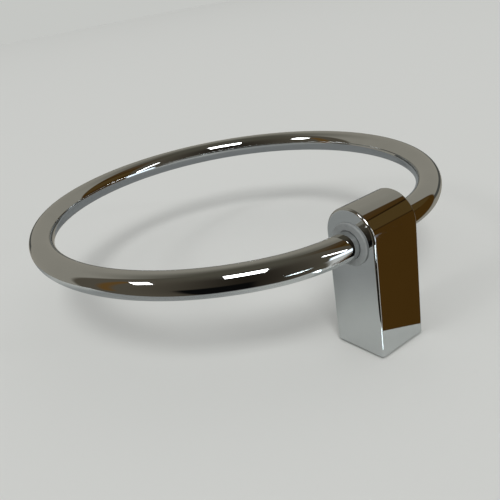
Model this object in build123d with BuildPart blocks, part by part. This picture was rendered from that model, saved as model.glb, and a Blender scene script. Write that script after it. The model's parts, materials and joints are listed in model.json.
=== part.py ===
from build123d import *

import os
from math import atan2, degrees

# A towel ring: a square wall post with a rounded end, which carries a swinging ring in two flanged bushes.
# Millimetres. The origin is the centre of the wall face, the wall is the plane Y = 0 and +Z points up it.
# The post stands out towards -Y, and the ring hangs parallel to the wall and swings about an axis along X.

# Post
POST_WIDTH = 26.0  # along the pivot axis
POST_DEPTH = 25.5  # from the underside to the top
PIVOT_REACH = 49.0  # from the wall face to the pivot axis
ROUND_OFFSET = 2.5  # the rounded end's centre lies this much further out than the pivot
EDGE_RADIUS = 1.0  # on the edges of the two side faces
POST_WALL = 2.8  # casting wall round the cavity
CAVITY_CORNER = 1.5  # upright corners of the cavity
BORE_LAND = 10.0  # solid metal between the cavity and the bush bore

# Ring, bent from round bar
BAR_DIAMETER = 12.0
RING_RADIUS = 99.0  # main arc, to the middle of the bar
PIVOT_INSET = 4.0  # the pivot axis lies this far inside the full circle
STRAIGHT_RUN = 1.75  # straight bar that shows outside each bush
BAR_CHAMFER = 0.8  # on the hidden ends of the bar

# Bushes
BUSH_WALL = 1.5
BUSH_LENGTH = 9.0  # sleeve, inside the post
FLANGE_LIP = 1.7  # how far the flange stands past the sleeve
FLANGE_THICKNESS = 1.0
FLANGE_EDGE = 0.3  # chamfer on the flange's outer edge
MOUTH_FLARE = 0.9  # chamfer where the bar goes in

# Wall bracket and grub screw
BRACKET_THICKNESS = 9.0
SCREW_EDGE = 4.9  # from a side of the bracket to the middle of a screw hole
SCREW_HOLE = 4.4
SCREW_SINK = 8.4  # countersink, for a 4 mm wood screw
SINK_ANGLE = 90.0
NOTCH_DEPTH = 1.2  # groove that the grub screw presses into
GRUB_DIAMETER = 4.0
GRUB_RECESS = 0.2  # how far the grub screw sits inside the post's underside
GRUB_CHAMFER = 0.4
HEX_FLATS = 2.0
HEX_DEPTH = 2.0

# Fits
RUNNING_CLEARANCE = 0.05  # bar in bush, on the radius
SEAT_CLEARANCE = 0.03  # bush in post, on the radius
BRACKET_CLEARANCE = 0.2  # bracket in cavity, on each side
THREAD_CLEARANCE = 0.03  # grub screw in its tapped hole, on the radius
NOTCH_CLEARANCE = 0.5  # groove past the grub screw, on each side

# Sizes that follow
half_width = POST_WIDTH / 2
half_depth = POST_DEPTH / 2
round_reach = PIVOT_REACH + ROUND_OFFSET
bar_radius = BAR_DIAMETER / 2
bush_bore = bar_radius + RUNNING_CLEARANCE
sleeve_radius = bush_bore + BUSH_WALL
flange_radius = sleeve_radius + FLANGE_LIP
post_bore = sleeve_radius + SEAT_CLEARANCE
cavity_width = POST_WIDTH - 2 * POST_WALL
cavity_height = POST_DEPTH - 2 * POST_WALL
cavity_depth = PIVOT_REACH - post_bore - BORE_LAND
bracket_width = cavity_width - 2 * BRACKET_CLEARANCE
bracket_height = cavity_height - 2 * BRACKET_CLEARANCE
screw_spacing = bracket_width - 2 * SCREW_EDGE
grub_reach = BRACKET_THICKNESS / 2
grub_radius = GRUB_DIAMETER / 2
notch_floor = bracket_height / 2 - NOTCH_DEPTH
grub_length = half_depth - GRUB_RECESS - notch_floor

# The ring's straight ends run into the main arc through a tighter bend that is tangent to both.
sleeve_end = half_width - BUSH_LENGTH
straight_end = half_width + FLANGE_THICKNESS + STRAIGHT_RUN
ring_drop = RING_RADIUS - PIVOT_INSET
bend_radius = (RING_RADIUS**2 - ring_drop**2 - straight_end**2) / (2 * PIVOT_INSET)
bend_start = degrees(atan2(ring_drop - bend_radius, straight_end))
bend_sweep = 90 - bend_start

pivot = Plane(origin=(0, -PIVOT_REACH, 0), x_dir=(0, 1, 0), z_dir=(1, 0, 0))
ring_plane = Plane(origin=(0, -PIVOT_REACH, 0), x_dir=(1, 0, 0), z_dir=(0, -1, 0))
underside = Plane(origin=(0, -grub_reach, -half_depth), x_dir=(1, 0, 0), z_dir=(0, 0, -1))
bracket_front = Plane(origin=(0, -BRACKET_THICKNESS, 0), x_dir=(1, 0, 0), z_dir=(0, -1, 0))

os.makedirs("parts", exist_ok=True)

# Post: one casting, square in section, with a half-round end, a cavity at the wall and a bore for the bushes
with BuildPart() as post:
    with BuildSketch(Plane.YZ):
        with BuildLine():
            top = Line((0, half_depth), (-round_reach, half_depth))
            crown = (-round_reach - half_depth, 0)
            end = ThreePointArc(top @ 1, crown, (-round_reach, -half_depth))
            bottom = Line(end @ 1, (0, -half_depth))
            Line(bottom @ 1, top @ 0)
        make_face()
    extrude(amount=half_width, both=True)
    left_side, right_side = post.faces().filter_by(Axis.X)
    left_rim = left_side.edges().sort_by(Axis.Y)[:-1]
    right_rim = right_side.edges().sort_by(Axis.Y)[:-1]
    fillet(left_rim + right_rim, radius=EDGE_RADIUS)
    with BuildSketch(Plane.XZ):
        RectangleRounded(cavity_width, cavity_height, CAVITY_CORNER)
    extrude(amount=cavity_depth, mode=Mode.SUBTRACT)
    with Locations(pivot):
        Hole(radius=post_bore)
    with Locations(underside):
        Hole(radius=grub_radius + THREAD_CLEARANCE, depth=half_depth)
post.part.label = "post"
export_step(post.part, "parts/post.step")

# Ring: one bar, open inside the post, with straight ends on the pivot axis
with BuildPart() as ring:
    with BuildLine(ring_plane) as ring_path:
        right_end = Line((sleeve_end, 0), (straight_end, 0))
        CenterArc((straight_end, -bend_radius), bend_radius, 90, -bend_sweep)
        CenterArc((0, -ring_drop), RING_RADIUS, bend_start, 2 * bend_sweep - 360)
        CenterArc((-straight_end, -bend_radius), bend_radius, 90 + bend_sweep, -bend_sweep)
        Line((-straight_end, 0), (-sleeve_end, 0))
    with BuildSketch(Plane(origin=right_end @ 0, z_dir=right_end % 0)):
        Circle(bar_radius)
    sweep(path=ring_path.wires()[0])
    bar_ends = ring.faces().filter_by(GeomType.PLANE)
    chamfer(bar_ends.edges(), length=BAR_CHAMFER)
ring.part.label = "ring"
export_step(ring.part, "parts/ring.step")

# Bushes: one turned profile, used at both ends of the bore
for bush_name, side in (("bush_right", 1), ("bush_left", -1)):
    with BuildPart() as bush:
        with BuildSketch(Plane.XY):
            with BuildLine():
                Polyline(
                    (side * sleeve_end, bush_bore - PIVOT_REACH),
                    (side * sleeve_end, sleeve_radius - PIVOT_REACH),
                    (side * half_width, sleeve_radius - PIVOT_REACH),
                    (side * half_width, flange_radius - PIVOT_REACH),
                    (side * (half_width + FLANGE_THICKNESS), flange_radius - PIVOT_REACH),
                    (side * (half_width + FLANGE_THICKNESS), bush_bore - PIVOT_REACH),
                    close=True,
                )
            make_face()
        revolve(axis=Axis((0, -PIVOT_REACH, 0), (1, 0, 0)))
        outer_face = bush.faces().filter_by(Axis.X).sort_by(Axis.X)[-1 if side > 0 else 0]
        mouth_edge, flange_edge = outer_face.edges().sort_by(SortBy.RADIUS)
        chamfer(mouth_edge, length=MOUTH_FLARE)
        chamfer(flange_edge, length=FLANGE_EDGE)
    bush.part.label = bush_name
    export_step(bush.part, f"parts/{bush_name}.step")

# Wall bracket: a block that is screwed to the wall and that the post slides over
with BuildPart() as wall_bracket:
    with BuildSketch(Plane.XZ):
        RectangleRounded(bracket_width, bracket_height, CAVITY_CORNER)
    extrude(amount=BRACKET_THICKNESS)
    with Locations(bracket_front):
        with GridLocations(screw_spacing, 0, 2, 1):
            CounterSinkHole(SCREW_HOLE / 2, SCREW_SINK / 2, counter_sink_angle=SINK_ANGLE)
    with BuildSketch(Plane.YZ):
        with Locations((-grub_reach, -bracket_height / 2)):
            Rectangle(GRUB_DIAMETER + 2 * NOTCH_CLEARANCE, 2 * NOTCH_DEPTH)
    extrude(amount=bracket_width, both=True, mode=Mode.SUBTRACT)
wall_bracket.part.label = "wall_bracket"
export_step(wall_bracket.part, "parts/wall_bracket.step")

# Grub screw: from the underside of the post into the bracket's groove, with a hexagon socket
with BuildPart() as grub_screw:
    with BuildSketch(underside.offset(-GRUB_RECESS)):
        Circle(grub_radius)
    extrude(amount=-grub_length)
    chamfer(grub_screw.edges().filter_by(GeomType.CIRCLE), length=GRUB_CHAMFER)
    with BuildSketch(underside.offset(-GRUB_RECESS)):
        RegularPolygon(HEX_FLATS / 2, 6, major_radius=False)
    extrude(amount=-HEX_DEPTH, mode=Mode.SUBTRACT)
grub_screw.part.label = "grub_screw"
export_step(grub_screw.part, "parts/grub_screw.step")
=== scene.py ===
import json
import math

import bmesh
import bpy
from bpy.props import FloatProperty, FloatVectorProperty, IntProperty, PointerProperty
from mathutils import Matrix, Vector


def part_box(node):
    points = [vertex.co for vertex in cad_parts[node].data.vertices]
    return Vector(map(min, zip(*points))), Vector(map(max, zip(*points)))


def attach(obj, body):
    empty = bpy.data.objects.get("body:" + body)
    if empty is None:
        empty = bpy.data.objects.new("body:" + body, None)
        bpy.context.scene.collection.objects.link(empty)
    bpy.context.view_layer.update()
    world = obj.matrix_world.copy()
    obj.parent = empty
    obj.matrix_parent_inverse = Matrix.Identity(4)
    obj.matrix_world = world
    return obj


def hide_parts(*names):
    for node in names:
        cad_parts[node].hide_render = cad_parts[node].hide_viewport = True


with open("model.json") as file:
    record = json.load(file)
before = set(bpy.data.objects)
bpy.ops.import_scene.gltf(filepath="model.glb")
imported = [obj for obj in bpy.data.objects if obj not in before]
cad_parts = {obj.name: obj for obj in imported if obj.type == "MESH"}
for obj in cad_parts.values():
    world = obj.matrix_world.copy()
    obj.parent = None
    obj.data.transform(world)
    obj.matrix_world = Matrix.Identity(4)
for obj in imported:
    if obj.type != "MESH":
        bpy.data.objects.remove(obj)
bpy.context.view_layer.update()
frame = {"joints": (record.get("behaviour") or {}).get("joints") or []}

bl_info = {
    "name": "Towel Ring",
    "version": (1, 0, 0),
    "blender": (4, 5, 0),
    "location": "3D View > Sidebar > Towel Ring",
    "description": "Models a chrome towel ring that swings in a round-ended wall post",
    "category": "Object",
}

# What the frame fixes, in metres
# The wall is the plane Y = 0, the post stands out towards -Y, and Z points up the wall.
PIVOT = Vector(frame["joints"][0]["pos_m"])
POST_LOW, POST_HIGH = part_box("post")
RING_LOW, RING_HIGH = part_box("ring")
BUSH_LOW, BUSH_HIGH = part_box("bush_right")
BRACKET_LOW, BRACKET_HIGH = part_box("wall_bracket")
GRUB_LOW, GRUB_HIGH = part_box("grub_screw")
BAR_RADIUS = (RING_HIGH.y - RING_LOW.y) / 2

OUT_OF_WALL = Vector((0, -1, 0))
AXES = {"X": Vector((1, 0, 0)), "Y": Vector((0, 1, 0)), "Z": Vector((0, 0, 1))}
# Rotations that lay a flat primitive across an axis
ACROSS = {"X": (0, math.pi / 2, 0), "Y": (math.pi / 2, 0, 0), "Z": (0, 0, 0)}
CLOSE = 1e-6  # places nearer than this are the same place
CUT_PLAY = 1e-7  # a cut through a fine mesh goes through the places that are nearer to it than this
BOX_PLAY = 2e-5  # how far a piece's box may differ from that of its CAD node
SMOOTH_ANGLE = math.radians(32)  # edges that turn by more than this are sharp


def length(name, description, default):
    """A size in metres that a user may change."""
    return FloatProperty(
        name=name, description=description, default=default, min=0, precision=5, unit="LENGTH",
        subtype="DISTANCE"
    )


def count(name, description, default, lowest):
    """A number of faces that a user may change."""
    return IntProperty(name=name, description=description, default=default, min=lowest)


def colour(name, description, default):
    """A colour that a user may change."""
    return FloatVectorProperty(
        name=name, description=description, default=default, size=3, min=0, subtype="COLOR"
    )


def heading(name, description, default):
    """A direction that a user may change."""
    return FloatVectorProperty(name=name, description=description, default=default, subtype="DIRECTION")


class TowelRingSizes(bpy.types.PropertyGroup):
    """Sizes of the pieces that the frame's boxes don't give."""

    edge_radius: length("Edge radius", "Rounding of the post's side edges", 0.0010)
    post_wall: length("Post wall", "Metal round the cavity at the wall", 0.0028)
    cavity_corner: length("Cavity corner", "Rounding of the cavity and of the bracket in it", 0.0015)
    bore_land: length("Bore land", "Metal between the cavity and the bore of the bushes", 0.0100)
    pivot_inset: length("Pivot inset", "How far the pivot lies inside the full circle of the ring", 0.0040)
    straight_run: length("Straight run", "Straight bar that shows outside each bush", 0.00175)
    bar_chamfer: length("Bar chamfer", "Chamfer on the hidden ends of the bar", 0.0008)
    bush_wall: length("Bush wall", "Wall of the bush's sleeve", 0.0015)
    flange_thickness: length("Flange thickness", "Thickness of the bush's flange", 0.0010)
    flange_edge: length("Flange edge", "Chamfer on the flange's outer edge", 0.0003)
    mouth_flare: length("Mouth flare", "Chamfer where the bar goes into the bush", 0.0002)
    soft_edge: length("Soft edge", "Rounding of moulded and cast edges", 0.0001)
    running_clearance: length("Running clearance", "Gap round the bar in its bush", 0.00005)
    seat_clearance: length("Seat clearance", "Gap round the bush in the post", 0.00003)
    screw_spacing: length("Screw spacing", "Between the two wall screws", 0.0102)
    screw_hole: length("Screw hole", "Diameter of a wall screw's hole", 0.0044)
    screw_sink: length("Screw sink", "Diameter of a wall screw's countersink", 0.0084)
    notch_depth: length("Notch depth", "Depth of the groove for the grub screw", 0.0012)
    notch_width: length("Notch width", "Width of the groove for the grub screw", 0.0050)
    thread_clearance: length("Thread clearance", "Gap round the grub screw in its hole", 0.00003)
    thread_pitch: length("Thread pitch", "Pitch of the grub screw's thread", 0.0007)
    thread_depth: length("Thread depth", "Depth of the grub screw's thread", 0.00043)
    grub_chamfer: length("Grub chamfer", "Chamfer on the ends of the grub screw", 0.0004)
    hex_flats: length("Hexagon", "Width across the flats of the grub screw's socket", 0.0020)
    hex_depth: length("Hexagon depth", "Depth of the grub screw's socket", 0.0020)
    bar_sides: count("Bar sides", "Faces round the bar", 64, 12)
    bend_steps: count("Bend steps", "Faces along each bend next to a bush", 24, 4)
    ring_steps: count("Ring steps", "Faces along the main arc", 240, 24)
    round_steps: count("Round steps", "Faces along a quarter of the round end", 32, 4)
    rim_steps: count("Rim steps", "Faces across the rounded side edges", 6, 2)
    soft_steps: count("Soft steps", "Faces across a soft edge", 2, 1)
    hole_sides: count("Hole sides", "Faces round a hole or a turned piece", 96, 12)
    thread_steps: count("Thread steps", "Faces along one turn of the thread", 48, 12)


class TowelRingFinish(bpy.types.PropertyGroup):
    """Colours of the finishes."""

    chrome: colour("Chrome", "Chrome plate", (0.70, 0.715, 0.72))
    plastic: colour("Plastic", "Moulded plastic of the bushes", (0.30, 0.316, 0.316))
    zinc: colour("Zinc", "Bare cast zinc of the bracket", (0.52, 0.52, 0.51))
    steel: colour("Steel", "Bright steel of the grub screw", (0.36, 0.36, 0.37))


class TowelRingStage(bpy.types.PropertyGroup):
    """The board, the light and the camera."""

    board: colour("Board", "The pale board that stands for the wall", (0.74, 0.75, 0.725))
    # The mirrored board is painted darker than the board that the camera sees, and its darker parts are
    # painted shade from the ring and post
    board_mirrored: colour("Mirrored board", "The board as the chrome mirrors it", (0.58, 0.60, 0.575))
    painted_board_shade: colour("Mirrored shade", "Darker parts of the mirrored board", (0.27, 0.285, 0.285))
    # The cards' colour, far above one, makes them glow though they are no lamps: painted glints on the post's
    # front edge and at its foot
    card: colour("Card", "Bright cards before the post, as its front edge mirrors them", (7.0, 8.1, 8.4))
    backdrop: colour("Backdrop", "What the camera sees beyond the board", (0.56, 0.57, 0.55))
    fill: FloatProperty(name="Fill", description="Soft light from overhead", default=0.62, min=0)
    lens: FloatProperty(name="Lens", description="Focal length of the camera", default=43.98, unit="CAMERA")
    eye: FloatVectorProperty(
        name="Eye", description="Place of the camera", default=(0.17201, -0.1517, 0.15809),
        subtype="TRANSLATION"
    )
    look: heading("Look", "Direction of view", (-0.5237, 0.40536, -0.74928))
    upright: heading("Upright", "What is up in the picture", (-0.36722, -0.90104, -0.2308))


# Modelling

def begin(name, add, **settings):
    """Adds a primitive at its size and place, names it and opens it in edit mode with all of it selected."""
    bpy.ops.object.select_all(action="DESELECT")
    add(**settings)
    piece = bpy.context.object
    piece.name = name
    piece.data.name = name
    bpy.ops.object.transform_apply(location=True, rotation=True, scale=True)
    bpy.ops.object.mode_set(mode="EDIT")
    bpy.ops.mesh.select_all(action="SELECT")
    return piece


def select(kind, wanted):
    """Selects the edges or faces of the open piece for which wanted is true."""
    bpy.ops.mesh.select_mode(type={"edges": "EDGE", "faces": "FACE"}[kind])
    bpy.ops.mesh.select_all(action="DESELECT")
    mesh = bmesh.from_edit_mesh(bpy.context.object.data)
    for element in getattr(mesh, kind):
        if wanted(element):
            element.select_set(True)
    bmesh.update_edit_mesh(bpy.context.object.data)


def at(element, axis, *places):
    """True if all of an edge or face lies at one of the places along an axis."""
    found = [vert.co["XYZ".index(axis)] for vert in element.verts]
    return any(all(abs(value - place) < CLOSE for value in found) for place in places)


def along(edge, axis):
    """True if an edge runs along an axis."""
    first, second = (vert.co for vert in edge.verts)
    return (second - first).cross(AXES[axis]).length < CLOSE


def extrude(offset):
    """Extrudes what is selected and moves it."""
    bpy.ops.mesh.extrude_region_move(TRANSFORM_OT_translate={"value": offset})


def bevel(offset, segments):
    """Rounds the selected edges, or chamfers them if there is one segment."""
    bpy.ops.mesh.bevel(offset=offset, segments=segments, affect="EDGES")


def merge():
    """Merges the doubled places of the open piece and takes away faces without an area."""
    bpy.ops.mesh.select_all(action="SELECT")
    bpy.ops.mesh.remove_doubles(threshold=CLOSE)
    bpy.ops.mesh.dissolve_degenerate(threshold=CLOSE)


def close():
    """Merges doubled places, fills open ends, points the faces outwards and leaves edit mode."""
    merge()
    bpy.ops.mesh.select_all(action="SELECT")
    bpy.ops.mesh.fill_holes(sides=0)
    bpy.ops.mesh.select_all(action="SELECT")
    bpy.ops.mesh.normals_make_consistent(inside=False)
    bpy.ops.object.mode_set(mode="OBJECT")


def turn(name, centre, axis, profile, sides):
    """Turns a closed piece about an axis through centre.

    The profile lists places along the axis with their radii. A circle at the first is extruded through all.
    """
    place, radius = profile[0]
    middle = centre + AXES[axis] * place
    piece = begin(
        name, bpy.ops.mesh.primitive_circle_add, vertices=sides, radius=radius, location=middle,
        rotation=ACROSS[axis]
    )
    for next_place, next_radius in profile[1:]:
        extrude(AXES[axis] * (next_place - place))
        grown = next_radius / radius
        scale = [1 if letter == axis else grown for letter in "XYZ"]
        bpy.ops.transform.resize(value=scale, center_override=centre + AXES[axis] * next_place)
        place, radius = next_place, next_radius
    close()
    return piece


def activate(piece):
    """Makes a piece the active one, with nothing else selected."""
    bpy.ops.object.select_all(action="DESELECT")
    piece.select_set(True)
    bpy.context.view_layer.objects.active = piece


def apply(piece, kind, **settings):
    """Gives a piece a modifier and applies it."""
    activate(piece)
    modifier = piece.modifiers.new(kind.lower(), kind)
    for name, value in settings.items():
        setattr(modifier, name, value)
    bpy.ops.object.modifier_apply(modifier=modifier.name)


def cut(piece, tool, operation="DIFFERENCE"):
    """Cuts a piece with a tool, which is then taken away."""
    apply(piece, "BOOLEAN", operation=operation, object=tool, solver="EXACT")
    bpy.data.objects.remove(tool)


def soften(piece, sizes):
    """Rounds the sharp edges of a moulded or cast piece."""
    apply(
        piece, "BEVEL", width=sizes.soft_edge, segments=sizes.soft_steps, limit_method="ANGLE",
        angle_limit=SMOOTH_ANGLE
    )


def check_box(piece, node):
    """Raises an error if a piece doesn't fill the box of its CAD node."""
    low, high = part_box(node)
    for axis in range(3):
        places = [vert.co[axis] for vert in piece.data.vertices]
        if abs(min(places) - low[axis]) > BOX_PLAY or abs(max(places) - high[axis]) > BOX_PLAY:
            raise RuntimeError(f"{piece.name} doesn't fill the box of {node}")


def hand_over(piece, body, material, node):
    """Cleans and shades a finished piece and puts it on its body in place of its CAD node."""
    activate(piece)
    bpy.ops.object.mode_set(mode="EDIT")
    close()
    bpy.ops.object.shade_smooth_by_angle(angle=SMOOTH_ANGLE)
    apply(piece, "WEIGHTED_NORMAL", keep_sharp=True)
    piece.data.materials.clear()
    piece.data.materials.append(material)
    for face in piece.data.polygons:
        face.material_index = 0
    check_box(piece, node)
    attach(piece, body)
    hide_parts(node)


# Materials

NOISE_LOW, NOISE_HIGH = 0.3, 0.7  # nearly all of a noise lies between these
METAL = {"Metallic": 1.0}
DULL = {"Specular IOR Level": 0.4}


def add_node(tree, kind, settings, inputs):
    """Adds a node; an input given a socket is linked to it, and any other value is set on the input."""
    node = tree.nodes.new(kind)
    for name, value in settings.items():
        setattr(node, name, value)
    for name, value in inputs.items():
        if isinstance(value, bpy.types.NodeSocket):
            tree.links.new(value, node.inputs[name])
        else:
            node.inputs[name].default_value = value
    return node


def noise(tree, scale, detail):
    """Noise on the piece's own places, with so many lumps in a metre."""
    place = add_node(tree, "ShaderNodeTexCoord", {}, {}).outputs["Object"]
    inputs = {"Vector": place, "Scale": scale, "Detail": detail}
    return add_node(tree, "ShaderNodeTexNoise", {}, inputs).outputs["Fac"]


def clouded(tree, base, scale, detail, change):
    """A colour that noise makes a little darker and lighter."""
    ramp = add_node(tree, "ShaderNodeValToRGB", {}, {"Fac": noise(tree, scale, detail)})
    shades = ((NOISE_LOW, 1 - change), (NOISE_HIGH, 1 + change))
    for element, (place, share) in zip(ramp.color_ramp.elements, shades):
        element.position = place
        element.color = [channel * share for channel in base] + [1]
    return ramp.outputs["Color"]


def spread(tree, scale, detail, low, high):
    """Noise spread out between two numbers."""
    inputs = {"Value": noise(tree, scale, detail), "From Min": NOISE_LOW, "From Max": NOISE_HIGH}
    inputs.update({"To Min": low, "To Max": high})
    return add_node(tree, "ShaderNodeMapRange", {}, inputs).outputs["Result"]


def bumped(tree, scale, detail, depth):
    """A bump of that depth, in metres."""
    inputs = {"Height": noise(tree, scale, detail), "Strength": 1.0, "Distance": depth}
    return add_node(tree, "ShaderNodeBump", {}, inputs).outputs["Normal"]


def new_finish(name):
    """A new material, its nodes and its shader."""
    material = bpy.data.materials.new(name)
    material.use_nodes = True
    return material, material.node_tree, material.node_tree.nodes["Principled BSDF"]


def textured(name, base, clouds, gloss, grain, constants):
    """A finish whose colour, roughness and surface vary with noise; other shader values are constants."""
    material, tree, shader = new_finish(name)
    tree.links.new(clouded(tree, base, **clouds), shader.inputs["Base Color"])
    tree.links.new(spread(tree, **gloss), shader.inputs["Roughness"])
    tree.links.new(bumped(tree, **grain), shader.inputs["Normal"])
    for socket, value in constants.items():
        shader.inputs[socket].default_value = value
    return material


def chrome_plate():
    """Polished chrome: faint clouds and wipe marks in its gloss and a slight ripple in the plating."""
    return textured(
        "chrome_plate", bpy.context.scene.towel_ring_finish.chrome,
        clouds={"scale": 80, "detail": 3, "change": 0.02},
        gloss={"scale": 140, "detail": 6, "low": 0.012, "high": 0.045},
        grain={"scale": 220, "detail": 2, "depth": 1.5e-6},
        constants=METAL,
    )


def moulded_plastic():
    """Matt grey moulded plastic with a fine grain."""
    return textured(
        "moulded_plastic", bpy.context.scene.towel_ring_finish.plastic,
        clouds={"scale": 500, "detail": 4, "change": 0.08},
        gloss={"scale": 900, "detail": 3, "low": 0.38, "high": 0.55},
        grain={"scale": 5000, "detail": 2, "depth": 8e-6},
        constants=DULL,
    )


def cast_zinc():
    """Bare cast zinc, dull and slightly pitted."""
    return textured(
        "cast_zinc", bpy.context.scene.towel_ring_finish.zinc,
        clouds={"scale": 300, "detail": 6, "change": 0.15},
        gloss={"scale": 700, "detail": 4, "low": 0.35, "high": 0.6},
        grain={"scale": 2500, "detail": 4, "depth": 2e-5},
        constants=METAL,
    )


def bright_steel():
    """Bright steel with fine marks from turning."""
    return textured(
        "bright_steel", bpy.context.scene.towel_ring_finish.steel,
        clouds={"scale": 900, "detail": 4, "change": 0.12},
        gloss={"scale": 2500, "detail": 3, "low": 0.2, "high": 0.4},
        grain={"scale": 6000, "detail": 2, "depth": 6e-6},
        constants=METAL,
    )


def finish_named(name, make):
    """The material of that name, made the first time it is asked for."""
    return bpy.data.materials.get(name) or make()


# Pieces

def bush_radii(sizes):
    """Radii of a bush's bore and of its sleeve."""
    bore = BAR_RADIUS + sizes.running_clearance
    return bore, bore + sizes.bush_wall


class TowelRingBuildPost(bpy.types.Operator):
    """Model the square post with its half-round end, cavity, bush bore and grub screw hole"""

    bl_idname = "towel_ring.build_post"
    bl_label = "Post"

    DRILL_REACH = 1.5  # how far a drill goes each way, as a share of the metal that it goes through

    def execute(self, context):
        sizes = context.scene.towel_ring_sizes
        middle, size = (POST_LOW + POST_HIGH) / 2, POST_HIGH - POST_LOW
        half_width, half_height = size.x / 2, size.z / 2
        sides = (-half_width, half_width)
        piece = begin("chrome_post", bpy.ops.mesh.primitive_cube_add, size=1, location=middle, scale=size)

        # The cavity, open at the wall, with rounded corners
        _, sleeve = bush_radii(sizes)
        bore = sleeve + sizes.seat_clearance
        cavity_depth = -PIVOT.y - bore - sizes.bore_land
        select("faces", lambda face: at(face, "Y", POST_HIGH.y))
        bpy.ops.mesh.inset(thickness=sizes.post_wall, depth=0)
        extrude((0, -cavity_depth, 0))
        inside = half_width - sizes.post_wall
        select("edges", lambda edge: along(edge, "Y") and at(edge, "X", -inside, inside))
        bevel(sizes.cavity_corner, sizes.rim_steps)

        # The half-round end, from the two outer edges
        select("edges", lambda edge: along(edge, "X") and at(edge, "Y", POST_LOW.y))
        bevel(half_height, sizes.round_steps)
        merge()

        # The rounded edges of both side faces
        select("edges", lambda edge: at(edge, "X", *sides) and not at(edge, "Y", POST_HIGH.y))
        bevel(sizes.edge_radius, sizes.rim_steps)
        close()

        # The bore for the bushes and the hole for the grub screw
        self.drill(piece, PIVOT, "X", bore, half_width, sizes.hole_sides)
        grub_middle = (GRUB_LOW + GRUB_HIGH) / 2
        grub_hole = (GRUB_HIGH.x - GRUB_LOW.x) / 2 + sizes.thread_clearance
        mouth = Vector((grub_middle.x, grub_middle.y, POST_LOW.z))
        self.drill(piece, mouth, "Z", grub_hole, sizes.post_wall, sizes.hole_sides)
        hand_over(piece, "wall_post", finish_named("chrome_plate", chrome_plate), "post")
        return {"FINISHED"}

    def drill(self, piece, centre, axis, radius, metal, sides):
        """Drills a round hole both ways from a place, through so much metal."""
        reach = metal * self.DRILL_REACH
        cut(piece, turn("drill", centre, axis, [(-reach, radius), (reach, radius)], sides))


class TowelRingBuildRing(bpy.types.Operator):
    """Model the ring: one bar, bent down from both bushes into a wide circle"""

    bl_idname = "towel_ring.build_ring"
    bl_label = "Ring"

    def execute(self, context):
        sizes = context.scene.towel_ring_sizes
        ring_radius = (PIVOT.z - RING_LOW.z - BAR_RADIUS + sizes.pivot_inset) / 2
        ring_drop = ring_radius - sizes.pivot_inset
        bar_end = BUSH_LOW.x
        straight_end = BUSH_HIGH.x + sizes.straight_run
        bend_radius = (ring_radius**2 - ring_drop**2 - straight_end**2) / (2 * sizes.pivot_inset)
        bend_sweep = math.atan2(straight_end, ring_drop - bend_radius)

        piece = begin(
            "chrome_ring", bpy.ops.mesh.primitive_circle_add, vertices=sizes.bar_sides, radius=BAR_RADIUS,
            location=PIVOT + Vector((bar_end, 0, 0)), rotation=ACROSS["X"]
        )
        straight = Vector((straight_end - bar_end, 0, 0))
        extrude(straight)
        self.bend(Vector((straight_end, 0, -bend_radius)), bend_sweep, sizes.bend_steps)
        self.bend(Vector((0, 0, -ring_drop)), 2 * math.pi - 2 * bend_sweep, sizes.ring_steps)
        self.bend(Vector((-straight_end, 0, -bend_radius)), bend_sweep, sizes.bend_steps)
        extrude(straight)

        # Flat ends with a chamfer, inside the post
        bpy.ops.mesh.select_all(action="SELECT")
        bpy.ops.mesh.fill_holes(sides=0)
        select("edges", lambda edge: at(edge, "X", -bar_end, bar_end))
        bevel(sizes.bar_chamfer, 1)
        close()
        hand_over(piece, "swing_ring", finish_named("chrome_plate", chrome_plate), "ring")
        return {"FINISHED"}

    @staticmethod
    def bend(centre, angle, steps):
        """Carries the selected end of the bar round an arc that turns from +X towards -Z."""
        bpy.ops.mesh.spin(steps=steps, angle=angle, center=PIVOT + centre, axis=-AXES["Y"])


class TowelRingBuildBushes(bpy.types.Operator):
    """Model the flanged bush that carries the bar, and its twin on the other side"""

    bl_idname = "towel_ring.build_bushes"
    bl_label = "Bushes"

    def execute(self, context):
        sizes = context.scene.towel_ring_sizes
        bore, sleeve = bush_radii(sizes)
        flange = (BUSH_HIGH.z - BUSH_LOW.z) / 2
        inner, outer = BUSH_LOW.x, BUSH_HIGH.x
        shoulder = outer - sizes.flange_thickness
        profile = [
            (inner, bore),
            (outer - sizes.mouth_flare, bore),
            (outer, bore + sizes.mouth_flare),
            (outer, flange - sizes.flange_edge),
            (outer - sizes.flange_edge, flange),
            (shoulder, flange),
            (shoulder, sleeve),
            (inner, sleeve),
            (inner, bore),
        ]
        right = turn("bush_sleeve_right", PIVOT, "X", profile, sizes.hole_sides)
        soften(right, sizes)

        bpy.ops.object.duplicate(linked=False)
        left = bpy.context.object
        left.name = left.data.name = "bush_sleeve_left"
        bpy.ops.transform.rotate(value=math.pi, orient_axis="Z", center_override=PIVOT)
        bpy.ops.object.transform_apply(location=True, rotation=True, scale=True)
        plastic = finish_named("moulded_plastic", moulded_plastic)
        for piece, node in ((right, "bush_right"), (left, "bush_left")):
            hand_over(piece, "wall_post", plastic, node)
        return {"FINISHED"}


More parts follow.
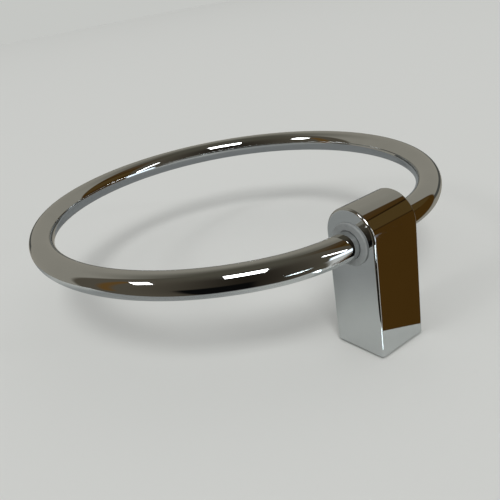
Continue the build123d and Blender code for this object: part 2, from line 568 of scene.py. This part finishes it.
class TowelRingBuildBracket(bpy.types.Operator):
    """Model the wall bracket: a block with two countersunk holes and a groove under it"""

    bl_idname = "towel_ring.build_bracket"
    bl_label = "Wall bracket"

    def execute(self, context):
        sizes = context.scene.towel_ring_sizes
        middle, size = (BRACKET_LOW + BRACKET_HIGH) / 2, BRACKET_HIGH - BRACKET_LOW
        piece = begin("bracket_block", bpy.ops.mesh.primitive_cube_add, size=1, location=middle, scale=size)
        select("edges", lambda edge: along(edge, "Y"))
        bevel(sizes.cavity_corner, sizes.rim_steps)
        close()

        # The countersunk holes, by a cutter that is longer than the block is deep
        hole, sink = sizes.screw_hole / 2, sizes.screw_sink / 2
        front, back = BRACKET_LOW.y, BRACKET_HIGH.y
        spare = size.y
        profile = [
            (back + spare, hole),
            (front + sink - hole, hole),
            (front, sink),
            (front - spare, sink),
        ]
        for side in (-1, 1):
            place = Vector((side * sizes.screw_spacing / 2, 0, middle.z))
            cut(piece, turn("countersink", place, "Y", profile, sizes.hole_sides))

        # The groove, by a bar whose lower half lies under the block
        groove_size = (size.x * 2, sizes.notch_width, sizes.notch_depth * 2)
        groove_place = (middle.x, (GRUB_LOW.y + GRUB_HIGH.y) / 2, BRACKET_LOW.z)
        groove = begin(
            "groove", bpy.ops.mesh.primitive_cube_add, size=1, location=groove_place, scale=groove_size
        )
        close()
        cut(piece, groove)
        soften(piece, sizes)
        hand_over(piece, "wall_post", finish_named("cast_zinc", cast_zinc), "wall_bracket")
        return {"FINISHED"}


class TowelRingBuildGrubScrew(bpy.types.Operator):
    """Model the grub screw with its thread, chamfered ends and hexagon socket"""

    bl_idname = "towel_ring.build_grub_screw"
    bl_label = "Grub screw"

    SOCKET_SIDES = 6
    CREST_SHARE = 0.1  # of the thread's pitch; its two flanks share the rest
    SPARE_TURNS = 2  # of the thread, past the ends of the screw

    def execute(self, context):
        sizes = context.scene.towel_ring_sizes
        centre = (GRUB_LOW + GRUB_HIGH) / 2
        radius, long = (GRUB_HIGH.x - GRUB_LOW.x) / 2, GRUB_HIGH.z - GRUB_LOW.z
        piece = self.thread(sizes, radius, long)
        bpy.ops.transform.translate(value=centre)
        bpy.ops.object.transform_apply(location=True, rotation=True, scale=True)

        # Its ends are trimmed by a blank that is wider than the thread between its chamfers
        chamfer = sizes.grub_chamfer
        profile = [
            (-long / 2, radius - chamfer),
            (-long / 2 + 2 * chamfer, radius + chamfer),
            (long / 2 - 2 * chamfer, radius + chamfer),
            (long / 2, radius - chamfer),
        ]
        cut(piece, turn("blank", centre, "Z", profile, sizes.hole_sides), "INTERSECT")

        # The socket, from below
        corner = sizes.hex_flats / 2 / math.cos(math.pi / self.SOCKET_SIDES)
        socket = [(-long, corner), (sizes.hex_depth - long / 2, corner)]
        cut(piece, turn("key", centre, "Z", socket, self.SOCKET_SIDES))
        hand_over(piece, "wall_post", finish_named("bright_steel", bright_steel), "grub_screw")
        return {"FINISHED"}

    def thread(self, sizes, radius, long):
        """A thread about Z, longer than the screw.

        One zigzag of its profile is screwed up turn by turn, and both ends are cut flat and capped.
        """
        pitch, depth = sizes.thread_pitch, sizes.thread_depth
        crest = pitch * self.CREST_SHARE
        flank = (pitch - crest) / 2
        turns = math.ceil(long / pitch) + self.SPARE_TURNS
        root = (radius - depth, 0, -(turns + 1) * pitch / 2)
        piece = begin("grub_screw_thread", bpy.ops.mesh.primitive_plane_add, size=pitch, location=root)
        bpy.ops.mesh.select_mode(type="VERT")
        bpy.ops.mesh.merge(type="CENTER")
        for step in ((depth, 0, flank), (0, 0, crest), (-depth, 0, flank)):
            bpy.ops.mesh.extrude_vertices_move(TRANSFORM_OT_translate={"value": step})
        bpy.ops.object.mode_set(mode="OBJECT")
        apply(
            piece, "SCREW", axis="Z", angle=2 * math.pi, screw_offset=pitch, iterations=turns,
            steps=sizes.thread_steps, render_steps=sizes.thread_steps
        )
        bpy.ops.object.mode_set(mode="EDIT")
        bpy.ops.mesh.select_all(action="SELECT")
        bpy.ops.mesh.remove_doubles(threshold=CLOSE)
        for side in (-1, 1):
            bpy.ops.mesh.select_all(action="SELECT")
            end = Vector((0, 0, side * (long / 2 + pitch / 2)))
            bpy.ops.mesh.bisect(
                plane_co=end, plane_no=end, use_fill=True, clear_outer=True, threshold=CUT_PLAY
            )
        close()
        return piece


# Stage

def studio_direction(azimuth, elevation=0):
    """A direction from the ring, in degrees.

    Azimuth turns from straight ahead of the camera to its right, and elevation rises off the wall.
    """
    look = Vector(bpy.context.scene.towel_ring_stage.look)
    ahead = (look - OUT_OF_WALL * look.dot(OUT_OF_WALL)).normalized()
    aside = ahead.cross(OUT_OF_WALL)
    turned, raised = math.radians(azimuth), math.radians(elevation)
    level = ahead * math.cos(turned) + aside * math.sin(turned)
    return level * math.cos(raised) + OUT_OF_WALL * math.sin(raised)


def facing(right, back):
    """The rotation of a light or a camera whose X axis points right and whose Z axis points back."""
    return Matrix((right, back.cross(right), back)).transposed().to_4x4()


def calculate(tree, operation, first, second=0.0):
    """The result of a math node on one or two values."""
    return add_node(tree, "ShaderNodeMath", {"operation": operation}, {0: first, 1: second}).outputs[0]


def distance(tree, place, direction):
    """How far a place lies in a direction."""
    inputs = {0: place, 1: direction}
    return add_node(tree, "ShaderNodeVectorMath", {"operation": "DOT_PRODUCT"}, inputs).outputs["Value"]


def off_azimuth(tree, place, azimuth):
    """The angle between a place and an azimuth, on either side of it, in radians."""
    ahead = distance(tree, place, studio_direction(azimuth))
    aside = distance(tree, place, studio_direction(azimuth + 90))
    return calculate(tree, "ABSOLUTE", calculate(tree, "ARCTAN2", aside, ahead))


def rise(tree, value, start, end):
    """A share that grows softly from 0 to 1 while a value goes from start to end."""
    inputs = {"Value": value, "From Min": start, "From Max": end}
    return add_node(tree, "ShaderNodeMapRange", {"interpolation_type": "SMOOTHSTEP"}, inputs).outputs[0]


def passing(tree, angle, edge, softness):
    """A share that grows while an angle passes an edge in degrees, or shrinks if the softness is negative."""
    return rise(tree, angle, math.radians(edge - softness / 2), math.radians(edge + softness / 2))


def mix(tree, share, first, second, label=""):
    """A share of the second colour in the first."""
    settings = {"data_type": "RGBA", "label": label}
    return add_node(tree, "ShaderNodeMix", settings, {0: share, 6: first, 7: second}).outputs[2]


class TowelRingBuildStage(bpy.types.Operator):
    """Set up the pale board, the soft light and the camera"""

    bl_idname = "towel_ring.build_stage"
    bl_label = "Stage"

    # Softboxes: name, azimuth, elevation, width and height as seen from the ring, lean, all in degrees, and
    # brightness
    SOFTBOXES = (
        ("softbox_behind", 180, 49, 18, 18, 0, 12.0),
        ("softbox_left", -119, 37, 9, 14, 38, 6.0),
        ("softbox_right", 120, 16, 3, 28, 30, 8.0),
    )
    SOFTBOX_DISTANCE = 30.0
    BOARD_REACH = 4.0  # from the post to each edge of the board
    BOARD_BEHIND = 0.0012  # from the wall face back to the board
    BOARD_HOLE = 0.020  # width of the opening in the board behind the post
    CARD_BEHIND = 0.0009  # from the wall face back to the cards, which lie over the board
    SEAL_TONE = (0.01, 0.01, 0.01)
    # Sheets that only the chrome mirrors: name, how far behind the wall face, and for each straight edge the
    # azimuth that it faces and its distance, in metres and degrees
    SHEETS = (
        (
            "mirrored_board", BOARD_BEHIND,
            ((113.5, 0.0252), (0, 0.45), (180, 0.046), (-167.6, 0.064), (-90, 0.240), (-45, 0.250)),
        ),
        ("pale_card", CARD_BEHIND, ((180, 0.150), (90, 0.150))),
        # The foot and edge cards glow: painted glints on the post's front edge and at its foot
        ("foot_card", CARD_BEHIND, ((10, -0.024), (180, 0.040))),
        ("edge_card", CARD_BEHIND, ((10, -0.104), (180, 0.129))),
    )
    # The cards show as fans that open from the post's front edge: the azimuth of the middle, the whole width
    # and the width of each fading side, in degrees
    PALE_FAN = (119, 40, 15)
    # the fan of the glowing cards, which paint glints on the post's front edge
    GLOWING_GLINT_FAN = (164, 34, 12)
    # Painted shade on the mirrored board: darker ahead of the post, where the ring shades it, and in a belt
    # of painted shadow from the ring and post
    SHADE_EDGE = (0.05, 0.13)  # distances ahead between which the mirrored board grows darker
    SHADOW_BELT_AZIMUTH = -82.6  # the direction in which a darker belt across the mirrored board is measured
    BELT_START, BELT_END = (0.025, 0.085), (0.220, 0.165)  # each edge, from no shade to the belt's shade
    SHADOW_BELT_SHADE = 0.70  # the belt's share of the full shade
    # Screens that only the chrome mirrors, each over the ones before: name, azimuth, width, lowest and
    # highest elevation, softness of the edges, all in degrees, and colour
    SCREENS = (
        ("dark_behind", 180, 60, -90, 90, 80, (0.014, 0.011, 0.008)),
        ("black_below", -164, 40, -90, -12, 8, (0.004, 0.004, 0.004)),
        ("pale_ahead", -12, 148, -50, 90, 5, (0.285, 0.270, 0.228)),
        ("dark_gap", 20, 120, -12, -1, 2, (0.070, 0.072, 0.065)),
        ("brown_right", 83.5, 45, -90, 90, 3, (0.066, 0.032, 0.006)),
        ("brown_panel", 85, 42, 12, 39, 3, (0.082, 0.050, 0.015)),
        ("upper_seam", 83, 40, 38, 40, 1.5, (0.014, 0.006, 0.001)),
        ("lower_seam", 95, 26, 11, 13, 1.5, (0.024, 0.011, 0.003)),
        ("amber_left", -107, 8, -20, 40, 6, (0.130, 0.072, 0.022)),
        ("bright_strip", 115, 23, -16, -1, 3, (1.500, 1.700, 1.900)),
        ("dim_overhead", 0, 360, 58, 90, 45, (0.085, 0.079, 0.060)),
        ("behind_board", 0, 360, -90, -64, 12, (0.420, 0.420, 0.410)),
    )
    ROOM_TONE = (0.095, 0.083, 0.062)
    LEVEL_FILL = 0.08  # soft light from level with the board
    FULL_FILL_ELEVATION = 60  # degrees off the board at which the soft light has grown to the full fill
    SENSOR_WIDTH = 36.0  # in millimetres
    CLIP_START, CLIP_END = 0.01, 100.0

    def execute(self, context):
        stage = context.scene.towel_ring_stage
        self.lay_board(stage)
        self.seal_hole()
        for softbox in self.SOFTBOXES:
            self.hang_softbox(*softbox)
        self.light_room(context.scene, stage)
        self.place_camera(context.scene, stage)
        context.scene.view_settings.view_transform = "Standard"
        return {"FINISHED"}

    @staticmethod
    def plain(_tree, _place, tone):
        """One colour, nowhere clear."""
        return (*tone, 1), 0.0

    def shaded(self, tree, place, near, far):
        """One colour on the near side, and painted shade ahead of the post and in a belt of painted shadow
        from the ring and post, nowhere clear.
        """
        ahead = rise(tree, distance(tree, place, studio_direction(0)), *self.SHADE_EDGE)
        beside = distance(tree, place, studio_direction(self.SHADOW_BELT_AZIMUTH))
        start, end = (rise(tree, beside, *edge) for edge in (self.BELT_START, self.BELT_END))
        belt = calculate(tree, "MULTIPLY", calculate(tree, "MULTIPLY", start, end), self.SHADOW_BELT_SHADE)
        return mix(tree, calculate(tree, "MAXIMUM", ahead, belt), (*near, 1), (*far, 1)), 0.0

    @staticmethod
    def fanned(tree, place, tone, azimuth, width, fade):
        """One colour, clear towards the sides of a fan that opens from the post's front edge."""
        front_edge = (POST_HIGH.x, 0, POST_HIGH.z)
        settings = {"operation": "SUBTRACT"}
        ray = add_node(tree, "ShaderNodeVectorMath", settings, {0: place, 1: front_edge}).outputs["Vector"]
        return (*tone, 1), passing(tree, off_azimuth(tree, ray, azimuth), (width - fade) / 2, fade)

    @staticmethod
    def one_sided(name, paint, *settings):
        """A matt finish that can't be seen from behind; paint gives its colour and how clear it is."""
        material = bpy.data.materials.new(name)
        material.use_nodes = True
        tree = material.node_tree
        tree.nodes.clear()
        place = add_node(tree, "ShaderNodeTexCoord", {}, {}).outputs["Object"]
        tone, clearness = paint(tree, place, *settings)
        matt = add_node(tree, "ShaderNodeBsdfDiffuse", {}, {"Color": tone}).outputs[0]
        clear = add_node(tree, "ShaderNodeBsdfTransparent", {}, {}).outputs[0]
        behind = add_node(tree, "ShaderNodeNewGeometry", {}, {}).outputs["Backfacing"]
        unseen = calculate(tree, "MAXIMUM", behind, clearness)
        surface = add_node(tree, "ShaderNodeMixShader", {}, {0: unseen, 1: matt, 2: clear}).outputs[0]
        add_node(tree, "ShaderNodeOutputMaterial", {}, {"Surface": surface})
        return material

    def outline_hole(self, name, behind):
        """Opens a new mesh that has only the edges of the hole in the board."""
        outline = begin(
            name, bpy.ops.mesh.primitive_plane_add, size=self.BOARD_HOLE, location=(0, behind, 0),
            rotation=ACROSS["Y"]
        )
        bpy.ops.mesh.delete(type="ONLY_FACE")
        bpy.ops.mesh.select_all(action="SELECT")
        return outline

    def lay_sheet(self, name, finish, behind, limits=()):
        """A sheet just behind the wall face, open behind the post, cut off at straight edges."""
        sheet = self.outline_hole(name, behind)
        bpy.ops.mesh.extrude_edges_move()
        grown = 2 * self.BOARD_REACH / self.BOARD_HOLE
        bpy.ops.transform.resize(value=(grown, 1, grown), center_override=(0, behind, 0))
        for azimuth, away in limits:
            outwards = studio_direction(azimuth)
            bpy.ops.mesh.select_all(action="SELECT")
            bpy.ops.mesh.bisect(plane_co=outwards * away, plane_no=outwards, clear_outer=True)
        bpy.ops.object.mode_set(mode="OBJECT")
        sheet.data.materials.append(finish)
        return sheet

    def lay_board(self, stage):
        """The pale board that the camera sees, and in its place the sheets that the chrome mirrors."""
        pale = self.one_sided("pale_board", self.plain, stage.board)
        board = self.lay_sheet("board", pale, self.BOARD_BEHIND)
        board.visible_glossy = False
        # The mirrored board, painted darker than the board, with painted shade ahead of the post and in a
        # belt
        mirrored = self.one_sided("mirrored_board", self.shaded, stage.board_mirrored, stage.painted_board_shade)
        # Cards that glow though they are no lamps, for painted glints on the post's front edge and at its
        # foot
        bright = self.one_sided("bright_card", self.fanned, stage.card, *self.GLOWING_GLINT_FAN)
        finishes = {
            "mirrored_board": mirrored,
            "pale_card": self.one_sided("pale_card", self.fanned, stage.board, *self.PALE_FAN),
            "foot_card": bright,
            "edge_card": bright,
        }
        for name, behind, limits in self.SHEETS:
            sheet = self.lay_sheet(name, finishes[name], behind, limits)
            sheet.visible_camera = False
            sheet.visible_diffuse = False
            sheet.visible_shadow = False

    def seal_hole(self):
        """An unseen rim round the hole in the board, so that no light from behind shows under the post."""
        seal = self.outline_hole("light_seal", self.BOARD_BEHIND)
        rim = OUT_OF_WALL * self.BOARD_BEHIND
        bpy.ops.mesh.extrude_edges_move(TRANSFORM_OT_translate={"value": rim})
        bpy.ops.object.mode_set(mode="OBJECT")
        finish, _, shader = new_finish("dark_seal")
        shader.inputs["Base Color"].default_value = (*self.SEAL_TONE, 1)
        seal.data.materials.append(finish)
        seal.visible_camera = False
        seal.visible_glossy = False

    def hang_softbox(self, name, azimuth, elevation, width, height, lean, brightness):
        """Hangs an area light that looks that large from the middle of the ring, and faces it."""
        middle = (RING_LOW + RING_HIGH) / 2
        back = studio_direction(azimuth, elevation)
        level = OUT_OF_WALL.cross(back).normalized()
        right = Matrix.Rotation(math.radians(lean), 3, back) @ level
        light = bpy.data.lights.new(name, "AREA")
        light.shape = "RECTANGLE"
        light.size = 2 * self.SOFTBOX_DISTANCE * math.tan(math.radians(width / 2))
        light.size_y = 2 * self.SOFTBOX_DISTANCE * math.tan(math.radians(height / 2))
        light.energy = brightness * math.pi * light.size * light.size_y
        holder = bpy.data.objects.new(name, light)
        bpy.context.scene.collection.objects.link(holder)
        place = middle + back * self.SOFTBOX_DISTANCE
        holder.matrix_world = Matrix.Translation(place) @ facing(right, back)
        holder.visible_camera = False

    @staticmethod
    def screened(tree, place, elevation, azimuth, width, lowest, highest, softness):
        """How far a screen covers a place; it has no edge where it goes all round, all the way up or down."""
        shares = []
        if width < 360:
            shares.append(passing(tree, off_azimuth(tree, place, azimuth), width / 2, -softness))
        if lowest > -90:
            shares.append(passing(tree, elevation, lowest, softness))
        if highest < 90:
            shares.append(passing(tree, elevation, highest, -softness))
        covered = shares[0]
        for share in shares[1:]:
            covered = calculate(tree, "MULTIPLY", covered, share)
        return covered

    def light_room(self, scene, stage):
        """A pale backdrop for the camera, a soft fill for matt surfaces and a plain room for the chrome."""
        world = bpy.data.worlds.new("studio")
        scene.world = world
        world.use_nodes = True
        tree = world.node_tree
        tree.nodes.clear()
        place = add_node(tree, "ShaderNodeTexCoord", {}, {}).outputs["Generated"]
        elevation = calculate(tree, "ARCSINE", distance(tree, place, OUT_OF_WALL))

        room = (*self.ROOM_TONE, 1)
        for name, *edges, tone in self.SCREENS:
            room = mix(tree, self.screened(tree, place, elevation, *edges), room, (*tone, 1), name)

        overhead = (stage.fill, stage.fill, stage.fill, 1)
        level = (self.LEVEL_FILL, self.LEVEL_FILL, self.LEVEL_FILL, 1)
        raised = calculate(tree, "ABSOLUTE", elevation)
        share = rise(tree, raised, 0, math.radians(self.FULL_FILL_ELEVATION))
        soft = mix(tree, share, level, overhead, "soft_fill")

        path = add_node(tree, "ShaderNodeLightPath", {}, {})
        shown = mix(tree, path.outputs["Is Camera Ray"], soft, (*stage.backdrop, 1), "backdrop")
        shown = mix(tree, path.outputs["Is Glossy Ray"], shown, room, "mirrored_room")
        background = add_node(tree, "ShaderNodeBackground", {}, {"Color": shown, "Strength": 1.0})
        add_node(tree, "ShaderNodeOutputWorld", {}, {"Surface": background.outputs[0]})

    def place_camera(self, scene, stage):
        """The camera at the photograph's place and angle."""
        data = bpy.data.cameras.new("camera")
        data.lens = stage.lens
        data.sensor_width = self.SENSOR_WIDTH
        data.clip_start, data.clip_end = self.CLIP_START, self.CLIP_END
        camera = bpy.data.objects.new("camera", data)
        scene.collection.objects.link(camera)
        back = -Vector(stage.look).normalized()
        right = Vector(stage.upright).cross(back).normalized()
        camera.matrix_world = Matrix.Translation(Vector(stage.eye)) @ facing(right, back)
        scene.camera = camera


# Panel and registration

SETTINGS = {
    "towel_ring_sizes": TowelRingSizes,
    "towel_ring_finish": TowelRingFinish,
    "towel_ring_stage": TowelRingStage,
}
BUILDERS = (
    TowelRingBuildPost,
    TowelRingBuildRing,
    TowelRingBuildBushes,
    TowelRingBuildBracket,
    TowelRingBuildGrubScrew,
    TowelRingBuildStage,
)


class TowelRingPanel(bpy.types.Panel):
    """Build steps, sizes and finishes of the towel ring"""

    bl_idname = "VIEW3D_PT_towel_ring"
    bl_label = "Towel Ring"
    bl_space_type = "VIEW_3D"
    bl_region_type = "UI"
    bl_category = "Towel Ring"

    def draw(self, context):
        column = self.layout.column()
        for builder in BUILDERS:
            column.operator(builder.bl_idname)
        for settings in SETTINGS:
            group = getattr(context.scene, settings)
            box = self.layout.box()
            for name in group.bl_rna.properties.keys():
                if name not in ("rna_type", "name"):
                    box.prop(group, name)


CLASSES = (*SETTINGS.values(), *BUILDERS, TowelRingPanel)


def register():
    for cls in CLASSES:
        bpy.utils.register_class(cls)
    for name, group in SETTINGS.items():
        setattr(bpy.types.Scene, name, PointerProperty(type=group))


def unregister():
    for name in SETTINGS:
        delattr(bpy.types.Scene, name)
    for cls in reversed(CLASSES):
        bpy.utils.unregister_class(cls)


def main():
    register()
    bpy.ops.towel_ring.build_post()
    bpy.ops.towel_ring.build_ring()
    bpy.ops.towel_ring.build_bushes()
    bpy.ops.towel_ring.build_bracket()
    bpy.ops.towel_ring.build_grub_screw()
    bpy.ops.towel_ring.build_stage()


if __name__ == "__main__":
    main()
